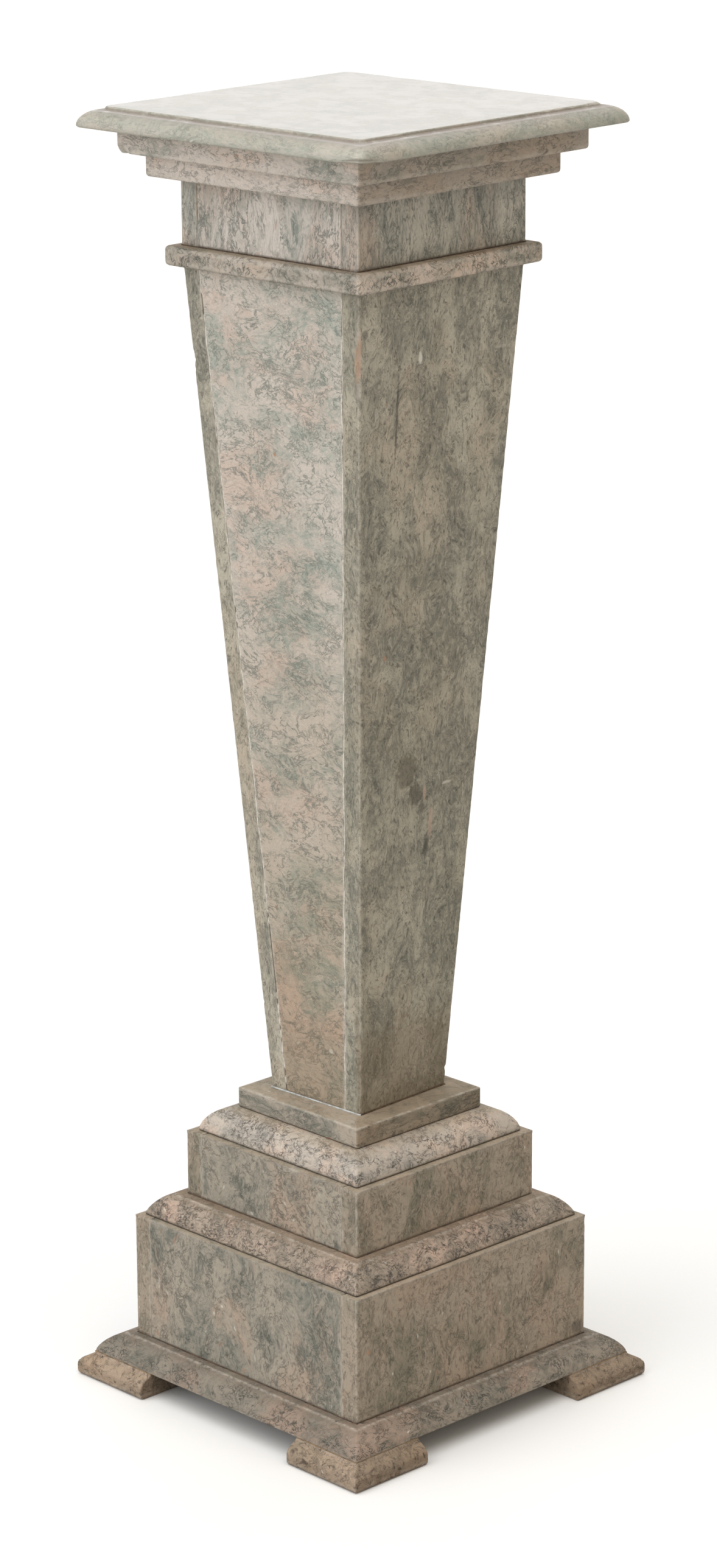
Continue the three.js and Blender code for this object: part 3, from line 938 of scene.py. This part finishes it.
# How much painted shade darkens a slab's front, right, back and left sides
RIGHT_SIDE_SHADE = (0, 1, 0.7, 0.3)
FRONT_SIDE_SHADE = (1, 0, 0.5, 0.6)
ALL_SIDE_SHADE = (0.5, 0.7, 0.6, 0.6)
CAP_DIRT = (0.65, 0.65, 0.65, 0.65)


def edge_profile(node, placing):
    """Half-width and height of a slab's edge, from its lower face up."""
    points = squared_points(node, placing)
    levels = np.unique(np.round(points[:, 2], 5))
    return [(np.abs(points[np.abs(points[:, 2] - z) < 0.02 * MM, 0]).max(), z) for z in levels]


def flat_slab(node, placing, stone, arrises, grain, radius, darkening=(0, 0, 0, 0)):
    """A square slab. arrises counts profile points from the lower face, or from the top if negative,
    and darkening says how much painted shade darkens its front, right, back and left sides."""
    profile = edge_profile(node, placing)
    half = max(width for width, _ in profile)
    outline = [(half * x, half * y) for x, y in SQUARE]
    rim = [(half - width, z) for width, z in profile]
    arrises = {point % len(rim): worn for point, worn in arrises.items()}
    return worn_block(node, outline, rim, arrises, LEVEL_AXES, placing, stone, grain, radius=radius,
                      side_darkening=darkening)


# The last argument of a slab, where given, darkens its sides with painted shade.
flat_slab("cap_slab", SET_ASKEW, "cap",
          {0: wear(0.8, 1.2, 0.15, breaks=[(158, -160, 16, 4.5)]), 1: wear(0.8),
           -2: wear(0.2, joint=CAP_DIRT, spread=13), -1: wear(0.7, 1.3, 0.45)},
          (0.8, 0.8, 1.6), 7 * MM)
flat_slab("upper_corbel_slab", SET_ASKEW, "corbel",
          {3: wear(1.2, 2.0, 0.1, breaks=[(-135, -136, 9, 7)]), -1: wear(0.6)}, (0.8, 0.8, 1.4), 2 * MM,
          RIGHT_SIDE_SHADE)
flat_slab("lower_corbel_slab", SET_ASKEW, "corbel",
          {3: wear(1.2, 2.0, 0.1), -1: wear(0.6)}, (0.8, 0.8, 1.4), 2 * MM, RIGHT_SIDE_SHADE)
flat_slab("neck_band", SET_ASKEW, "band",
          {3: wear(1.0, 1.2, 0.1), 4: wear(1.0, 1.2, 0.12)}, (1, 1, 1), 3 * MM, FRONT_SIDE_SHADE)
flat_slab("shaft_base_slab", SET_SQUARE, "slab",
          {0: wear(0.9, joint=ALL_SIDES), -1: wear(0.8, 1.4, 0.2)}, (0.7, 0.7, 1.5), 1.5 * MM,
          RIGHT_SIDE_SHADE)
flat_slab("upper_base_moulding", SET_SQUARE, "upper_moulding",
          {0: wear(1.0, 1.0, 0.15, joint=ALL_SIDES)}, (1.4, 1.4, 1.8), 1.5 * MM, ALL_SIDE_SHADE)
flat_slab("lower_base_moulding", SET_SQUARE, "lower_moulding",
          {0: wear(1.0, 1.2, 0.15, joint=ALL_SIDES), -2: wear(0.5, 0.6, 0.2)}, (1.4, 1.4, 1.8), 1.5 * MM)
flat_slab("plinth_slab", SET_SQUARE, "plinth",
          {0: wear(0.9, 1.2, 0.15), -2: wear(0.6, 0.6, 0.2)}, (1.1, 1.1, 1.6), 2 * MM, FRONT_SIDE_SHADE)
print("flat slabs:", [piece.name for piece in pieces])

# %% [markdown]
# ## Walls of the hollow boxes
# The frieze, the shaft and the two dados are boxes of four upright slabs. The left and right walls run
# the full depth, so their sawn edges show on the front and back, and the front and back walls are set
# between them. A wall's outline is its outer face, and its rim runs through the thickness, straight in
# from the face, so the tapering shaft needs no special case.

# %% Upright slabs
BOX_WALLS = {
    "front": (1, -1, (1, 0, 0)),
    "back": (1, 1, (-1, 0, 0)),
    "left": (0, -1, (0, -1, 0)),
    "right": (0, 1, (0, 1, 0)),
}


def wall_frame(node, placing, side):
    """The outline of a wall's outer face, the axes that it is drawn on and the wall's thickness."""
    axis, sign, across = BOX_WALLS[side]
    across = np.array(across, float)
    points = squared_points(node, placing)
    low, high = points[:, 2].min(), points[:, 2].max()
    foot = points[points[:, 2] < low + 0.1 * MM]
    head = points[points[:, 2] > high - 0.1 * MM]
    out_foot, out_head = np.abs(foot[:, axis]).max(), np.abs(head[:, axis]).max()
    half_foot, half_head = np.abs(foot @ across).max(), np.abs(head @ across).max()
    face = np.zeros(3)
    face[axis] = sign
    origin = face * out_foot + np.array([0, 0, low])
    rise = high - low
    along = (face * (out_head - out_foot) + np.array([0, 0, rise])) / rise
    outline = [(-half_foot, 0), (half_foot, 0), (half_head, rise), (-half_head, rise)]
    return outline, (origin, across, along, face), np.ptp(foot[:, axis])


# Larger chips of a wall's face arris, as (across, up, radius, depth) in millimetres
WALL_BREAKS = {
    "shaft_right": [(-98, 684, 8, 3.2), (-97, 662, 16, 3.8), (-95, 640, 9, 3.2)],
    "shaft_left": [(96, 640, 9, 3.0)],
    "upper_dado_right": [(-75, 53, 7, 2.6)],
    "upper_dado_front": [(30, 53, 9, 2.2), (-62, 53, 6, 2.0)],
}


def wall(node, placing, side, stone, outer, grain, darkening, ends=0.0):
    """An upright slab, its face darkened by darkening, at foot and head, and its sawn ends by ends."""
    outline, basis, thickness = wall_frame(node, placing, side)
    rim = [(0, -thickness), (0, 0)]
    outer = {**outer, "breaks": WALL_BREAKS.get(node, [])}
    worn_block(node, outline, rim, {0: wear(0.3), 1: outer}, basis, placing, stone, grain,
               darkening=darkening, side_darkening=(0, ends, 0, ends))


# Sides of an outline in order: foot, right end, head, left end
SIDE_WALL_EASE = (0.35, 1, 0.35, 1)
SET_WALL_EASE = (1, 0.5, 0.8, 0.5)
FOOT_JOINT = (1, 0, 0.35, 0)
BOXES = {
    "frieze": (SET_ASKEW, "frieze", "frieze_side", "streaked_marble", "streaked_marble", 0.9),
    "shaft": (SET_ASKEW, "shaft_face", "shaft_side", "pink_marble", "olive_marble", 2.6),
    "upper_dado": (SET_SQUARE, "dado_face", "dado_side", "green_marble", "pink_marble", 1.3),
    "lower_dado": (SET_SQUARE, "dado_face", "dado_side", "green_marble", "olive_marble", 1.5),
}
# How much finer a stone's pattern runs along each axis
SET_GRAIN = {"frieze": (1.2, 1, 0.5), "shaft": (0.8, 1, 1.2), "upper_dado": (1, 1, 0.8),
             "lower_dado": (1, 1, 0.7)}
SIDE_GRAIN = {"frieze": (2.6, 1.8, 0.62), "shaft": (2.0, 1.5, 0.9), "upper_dado": (1.8, 1.4, 0.9),
              "lower_dado": (1.8, 1.4, 0.9)}
# How much darker the walls are at foot and head, and the shaft's sawn ends
SIDE_WALL_DARKENING = {"frieze": (1.4, 0.5), "shaft": (0.75, 0.27), "upper_dado": (0, 0), "lower_dado": (0, 0)}
SAWN_END_STAIN = {"shaft_left": 0.3, "shaft_right": 0.6}
SET_WALL_DARKENING = (1.2, -0.5)
for box, (placing, face_stone, side_stone, face_slot, side_slot, ease) in BOXES.items():
    for side in BOX_WALLS:
        node = f"{box}_{side}"
        if side in ("left", "right"):
            edge = wear(ease, 1.2, 0.12, SIDE_WALL_EASE, FOOT_JOINT)
            wall(node, placing, side, side_stone, edge, SIDE_GRAIN[box], SIDE_WALL_DARKENING[box],
                 SAWN_END_STAIN.get(node, 0))
        else:
            edge = wear(0.6, 0.6, 0.1, SET_WALL_EASE, FOOT_JOINT)
            wall(node, placing, side, face_stone, edge, SET_GRAIN[box], SET_WALL_DARKENING)
print("walls:", len(BOXES) * len(BOX_WALLS))

# %% [markdown]
# ## Corner feet
# The feet are square blocks glued under the corners of the plinth. Their two outer sides swell out from
# the plinth to a rounded nose, in a slack S, and their inner ends are sawn flat. The rim is read from
# the solid again, but only the two outer sides of the outline follow it. The S is laid over the solid's
# straight shoulder as one wave of a sine.

# %% Feet
SHOULDER_WAVE = 1.0 * MM
SHOULDER_STEPS = 6
FOOT_GRAIN = (1, 1, 1.2)


def foot_rim(node, half):
    """The foot's profile, with its straight shoulder drawn as a slack S."""
    profile = edge_profile(node, SET_SQUARE)
    nose, shoulder = np.array(profile[-2]), np.array(profile[-1])
    curve = []
    for step in range(1, SHOULDER_STEPS):
        share = step / SHOULDER_STEPS
        width, z = nose + (shoulder - nose) * share
        curve.append((width + SHOULDER_WAVE * math.sin(2 * math.pi * share), z))
    return [(half - width, z) for width, z in [*profile[:-1], *curve, profile[-1]]]


def foot(depth, side):
    node = f"foot_{depth}_{side}"
    (low_x, low_y, _), (high_x, high_y, _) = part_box(node)
    outline = [(low_x, low_y), (high_x, low_y), (high_x, high_y), (low_x, high_y)]
    follows = (depth == "front", side == "right", depth == "back", side == "left")
    outer_ease = tuple(1.0 if followed else 0.5 for followed in follows)
    rim = foot_rim(node, max(abs(low_x), abs(high_x)))
    arrises = {0: wear(0.6, 1.0, 0.15, outer_ease), 3: wear(0.8, 1.4, 0.2, outer_ease),
               -1 % len(rim): wear(0.5, 0.8, 0.1, outer_ease)}
    # The feet's sides get painted shade, most on the right.
    return worn_block(node, outline, rim, arrises, LEVEL_AXES, SET_SQUARE, "foot",
                      FOOT_GRAIN, spacing=2 * MM, radius=1.2 * MM, follows=follows,
                      side_darkening=RIGHT_SIDE_SHADE)


for depth in ("front", "back"):
    for side in ("left", "right"):
        print("made", foot(depth, side).name)

# %% [markdown]
# ## Stains and scratches
# A few marks on the real stone are single events: an oily stain, a scratch, a pale shell. A random
# pattern never puts one in the right place, so each gets its own spot. A small node group paints one
# ragged blot round a centre, and it is placed once per mark in the stone's material, just before the
# shader. Every point of a slab carries its place on the pedestal, which the blot is measured from.

# %% Node group: a single mark
RAGGED = 1.3


def build_mark_group():
    inputs = [
        ("Colour", "colour", None),
        ("Place", "vector", None),
        ("Centre", "vector", None),
        ("Reach", "vector", None),
        ("Mark", "colour", tint("4f4936")),
        ("Strength", "value", 0.5),
    ]
    group, given, result = start_group("single_mark", inputs, [("Colour", "colour")])
    offset = vector_step(group, "SUBTRACT", given["Place"], given["Centre"])
    offset = vector_step(group, "DIVIDE", offset, given["Reach"])
    away = vector_step(group, "LENGTH", offset)
    ragged = noise_field(group, given["Place"], 260, 4, 0.65)
    level = calculate(group, "SUBTRACT", away, RAGGED / 2)
    level = calculate(group, "MULTIPLY_ADD", ragged.outputs[0], RAGGED, level)
    share = calculate(group, "MULTIPLY", soft_step(group, level, 1.1, 0.55), given["Strength"])
    feed(group, result["Colour"], mix_colours(group, share, given["Colour"], given["Mark"]))
    return group


MARK = build_mark_group()
print("mark group:", len(MARK.nodes), "nodes")

# %% Marks on the walls
MARK_DEPTH = 6


def add_mark(node, across, up, half_width_mm, half_height_mm, colour, strength):
    """One blot on a wall's outer face, in millimetres across from its middle and up from its foot."""
    box, side = node.rsplit("_", 1)
    _, (origin, across_axis, along, face), _ = wall_frame(node, BOXES[box][0], side)
    centre = origin + across_axis * across * MM + along * up * MM
    reach = np.abs(across_axis) * half_width_mm + np.abs(face) * MARK_DEPTH
    reach = reach + np.array([0, 0, half_height_mm])
    tree = bpy.data.objects[node + "_stone"].data.materials[0].node_tree
    socket = tree.nodes["Principled BSDF"].inputs["Base Color"]
    marked = place_group(tree, MARK, {
        "Colour": socket.links[0].from_socket,
        "Place": read_attribute(tree, "place", "Vector"),
        "Centre": centre,
        "Reach": reach * MM,
        "Mark": tint(colour),
        "Strength": strength,
    })
    feed(tree, socket, marked["Colour"])


OIL, PALE, WHITE, PINK, ORANGE, DARK, RUSTY = (
    "4c4634", "d2cbbe", "e8e4da", "c4a896", "bb8763", "3c3a31", "7a6040")
# Piece, place across and up in mm, half-width and half-height in mm, colour, strength
MARKS = [
    ("shaft_right", -16, 301, 15, 19, OIL, 0.6),
    ("shaft_right", -3, 278, 10, 12, OIL, 0.55),
    ("shaft_right", 5, 264, 4, 6, OIL, 0.45),
    ("shaft_right", 13, 228, 4, 11, DARK, 0.6),
    ("shaft_right", 8, 277, 2.4, 8, PINK, 0.6),
    ("shaft_right", 17, 249, 3, 16, PINK, 0.6),
    ("shaft_right", 35, 281, 7, 1.8, PALE, 0.7),
    ("shaft_right", -23, 656, 2.8, 6, WHITE, 0.8),
    ("shaft_right", 77, 652, 7.5, 1.8, PALE, 0.45),
    ("shaft_right", -48, 608, 1.6, 44, DARK, 0.6),
    ("shaft_right", -95, 662, 2.6, 27, ORANGE, 0.45),
    ("shaft_right", -90, 684, 4, 5, DARK, 0.5),
    ("shaft_right", 0, 25, 130, 85, RUSTY, 0.35),
    ("shaft_front", 0, 15, 110, 80, RUSTY, 0.2),
    ("shaft_front", 22, 656, 2.4, 2, PALE, 0.7),
    ("shaft_front", -55, 578, 2.4, 2, PALE, 0.8),
    ("shaft_front", -34, 517, 3.5, 2.2, PALE, 0.7),
    ("shaft_front", -5, 572, 1.6, 1.8, ORANGE, 0.7),
    ("shaft_front", 22, 51, 3, 2.5, PALE, 0.6),
    ("shaft_right", -49, 406, 2.2, 2.6, ORANGE, 0.6),
    ("lower_dado_right", 130, 9, 8, 8, DARK, 0.5),
    ("lower_dado_right", -125, 61, 3, 2.2, ORANGE, 0.45),
    ("lower_dado_right", 28, 90, 4, 6, DARK, 0.35),
    ("lower_dado_right", -29, 25, 1.6, 5, DARK, 0.6),
    ("lower_dado_front", -109, 55, 1.6, 7, PALE, 0.4),
]
for mark in MARKS:
    add_mark(*mark)
print("marks:", len(MARKS))

# %% [markdown]
# ## Grout, mortar and glue
# The joints are filled by hand, so the filling is never even: it stands a little proud here, smears over
# the stone there, and is missing somewhere else. Each filling is a bead with a small section, drawn out
# along a straight joint. Its size changes from step to step, and where it is missing it sinks back into
# the joint. White grout fills the upright joints of the shaft, stone-coloured grout those of the other
# boxes. Mortar and brown glue show at the feet of the tiers, and tan glue above the corner feet.

# %% Fillers
def make_filler(name, light, dark, rough=0.85):
    """A crumbly filler, blotched between two colours."""
    material = bpy.data.materials.new(name)
    material.use_nodes = True
    tree = material.node_tree
    shader = tree.nodes["Principled BSDF"]
    in_block = read_attribute(tree, "place_in_block", "Vector")
    blotches = noise_field(tree, in_block, 160, 4, 0.65)
    share = soft_step(tree, blotches.outputs[0], 0.4, 0.65)
    feed(tree, shader.inputs["Base Color"], mix_colours(tree, share, tint(light), tint(dark)))
    shader.inputs["Roughness"].default_value = rough
    crumbs = noise_field(tree, in_block, 900, 3, 0.6)
    bump = tree.nodes.new("ShaderNodeBump")
    bump.inputs["Strength"].default_value = 0.5
    bump.inputs["Distance"].default_value = BUMP_DEPTH
    feed(tree, bump.inputs["Height"], crumbs.outputs[0])
    feed(tree, shader.inputs["Normal"], bump.outputs[0])
    return material


FILLERS = {
    "white": make_filler("white_grout", "e6e2d8", "b9b1a4"),
    "stone": make_filler("stone_grout", "b3a899", "93897b"),
    "blue": make_filler("bluish_mortar", "cdd2d3", "a5a6a2"),
    "brown": make_filler("brown_glue", "6a5440", "3f3228"),
    "tan": make_filler("tan_glue", "957e62", "6d5b46"),
}
print("fillers:", sorted(FILLERS))

# %% Beads along a straight joint
BEAD_STEP = 2 * MM
LOST_FADE = 3
SINK_DEPTH = 1.4 * MM
GROUT_SECTION = [(-0.4, -3.0), (0.4, -3.0), (1.0, -0.3), (0.6, 0.1), (-0.6, 0.1), (-1.0, -0.3)]
FILLET_SECTION = [(-0.5, -0.5), (1.0, -0.3), (0.55, 0.4), (-0.2, 1.0)]
beads = []


def bead(name, start, end, across, out, section, width, gaps, filler, placing, sway=0.0, lost=0.0):
    """A bead from start to end. Its section is drawn on across and out, width is in millimetres, and
    gaps is the share of the joint where the filling has sunk back. sway is how far the bead wanders
    across, and lost how much more of it has sunk back near its start."""
    start, end, across, out = [np.array(part, float) for part in (start, end, across, out)]
    count = max(3, round(np.linalg.norm(end - start) / BEAD_STEP))
    seed = STONE_SEED * (1 + len(beads)) + 300
    rings = []
    for step in range(count + 1):
        run = step * BEAD_STEP
        slow = noise.noise(Vector((run * 18, seed, 0)))
        quick = noise.noise(Vector((run * 140, seed, 4)))
        level = 0.5 + 0.6 * slow + 0.35 * quick
        missing = gaps + lost * max(0, 1 - LOST_FADE * step / count)
        sunk = min(1, max(0, (missing - level) / 0.12 + 0.5)) if gaps > 0 else 0
        aside = sway * MM * noise.noise(Vector((run * 60, seed, 8)))
        size = width * MM * (1 + 0.35 * quick + 0.2 * slow) * (1 - 0.55 * sunk)
        middle_point = start + (end - start) * (step / count) - out * sunk * SINK_DEPTH + across * aside
        rings.append([middle_point + across * u * size / 2 + out * v * MM * width / 2 for u, v in section])
    local = np.array(rings)
    mesh = bpy.data.meshes.new(name)
    corners = [placing @ Vector(point) for point in local.reshape(-1, 3)]
    mesh.from_pydata(corners, [], ring_faces(*local.shape[:2]))
    set_attribute(mesh, "place_in_block", "FLOAT_VECTOR", local + seed)
    mesh.shade_smooth()
    beads.append(finish_piece(mesh, name, FILLERS[filler]))


GROUT_HALF = 0.6 * MM
GROUT_SWAY = 0.9


def box_grout(box, filler, width, gaps, lost=0.0):
    """Grout in the four upright joints of a box, two in front and two behind. gaps holds a share for
    the left and right joints, and lost is what more is missing near the foot of the left ones."""
    placing = BOXES[box][0]
    for side in ("front", "back"):
        outline, (origin, across, along, face), _ = wall_frame(f"{box}_{side}", placing, side)
        for name, foot_corner, head_corner, shift in (("left", 0, 3, -1), ("right", 1, 2, 1)):
            ends = [origin + across * (outline[c][0] + shift * GROUT_HALF) + along * outline[c][1]
                    for c in (foot_corner, head_corner)]
            bead(f"{box}_grout_{side}_{name}", *ends, across, face, GROUT_SECTION, width, gaps[name],
                 filler, placing, sway=GROUT_SWAY, lost=lost if name == "left" else 0.0)


box_grout("shaft", "white", 1.25, {"left": 0.14, "right": 0.18}, lost=0.55)
box_grout("frieze", "stone", 1.5, {"left": 0.12, "right": 0.12})
box_grout("upper_dado", "stone", 1.5, {"left": 0.12, "right": 0.12})
box_grout("lower_dado", "stone", 1.5, {"left": 0.12, "right": 0.12})
print("grout beads:", len(beads))

# %% Beads round a tier
ROUND_SIDES = {"front": (0, -1), "right": (1, 0), "back": (0, 1), "left": (-1, 0)}


def bead_round(name, half, z, filler, width, gaps, placing, sides=tuple(ROUND_SIDES)):
    """Fillet beads along the sides of a square tier."""
    for side in sides:
        out = np.array([*ROUND_SIDES[side], 0], float)
        run = np.array([-out[1], out[0], 0])
        level = np.array([0, 0, z])
        start = out * half - run * half + level
        end = out * half + run * half + level
        bead(f"{name}_{side}", start, end, out, (0, 0, 1), FILLET_SECTION, width, gaps, filler, placing)


def foot_level(node):
    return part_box(node)[0][2]


def half_width(node, placing):
    """Half the width of a piece at its foot."""
    points = squared_points(node, placing)
    above = points[:, 2] - points[:, 2].min()
    return np.abs(points[above < 0.1 * MM, 0]).max()


shaft_half = half_width("shaft_right", SET_ASKEW)
shaft_foot = foot_level("shaft_front")
bead_round("shaft_foot_mortar", shaft_half, shaft_foot, "blue", 1.8, 0.2, SET_ASKEW, ("front", "left"))
bead_round("shaft_foot_glue", shaft_half, shaft_foot, "brown", 1.0, 0.3, SET_ASKEW, ("right", "back"))
bead_round("slab_glue", half_width("shaft_base_slab", SET_SQUARE) - 0.5 * MM, foot_level("shaft_base_slab"),
           "brown", 1.4, 0.2, SET_SQUARE)
bead_round("frieze_foot_dirt", half_width("frieze_right", SET_ASKEW), foot_level("frieze_front"),
           "brown", 1.0, 0.25, SET_ASKEW)
for dado in ("upper_dado", "lower_dado"):
    bead_round(f"{dado}_foot_dirt", half_width(f"{dado}_right", SET_SQUARE), foot_level(f"{dado}_front"),
               "brown", 0.9, 0.3, SET_SQUARE)
print("beads:", len(beads))

# %% Glue above the feet
for depth in ("front", "back"):
    for side in ("left", "right"):
        node = f"foot_{depth}_{side}"
        half, level = edge_profile(node, SET_SQUARE)[-1]
        near, far = np.abs(np.array(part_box(node))[:, :2]).min(), half
        signs = np.array([1 if side == "right" else -1, 1 if depth == "back" else -1])
        for axis, name in ((0, side), (1, depth)):
            out = np.zeros(3)
            out[axis] = signs[axis]
            run = np.zeros(3)
            run[1 - axis] = signs[1 - axis]
            ends = [out * half + run * reach + np.array([0, 0, level]) for reach in (near, far)]
            bead(f"{node}_glue_{name}", *ends, (0, 0, 1), out, GROUT_SECTION, 1.2, 0.15, "tan", SET_SQUARE)
print("beads with the feet:", len(beads))

# %% Count the triangles
print("triangles:", sum(len(piece.data.loops) - 2 * len(piece.data.polygons) for piece in pieces))
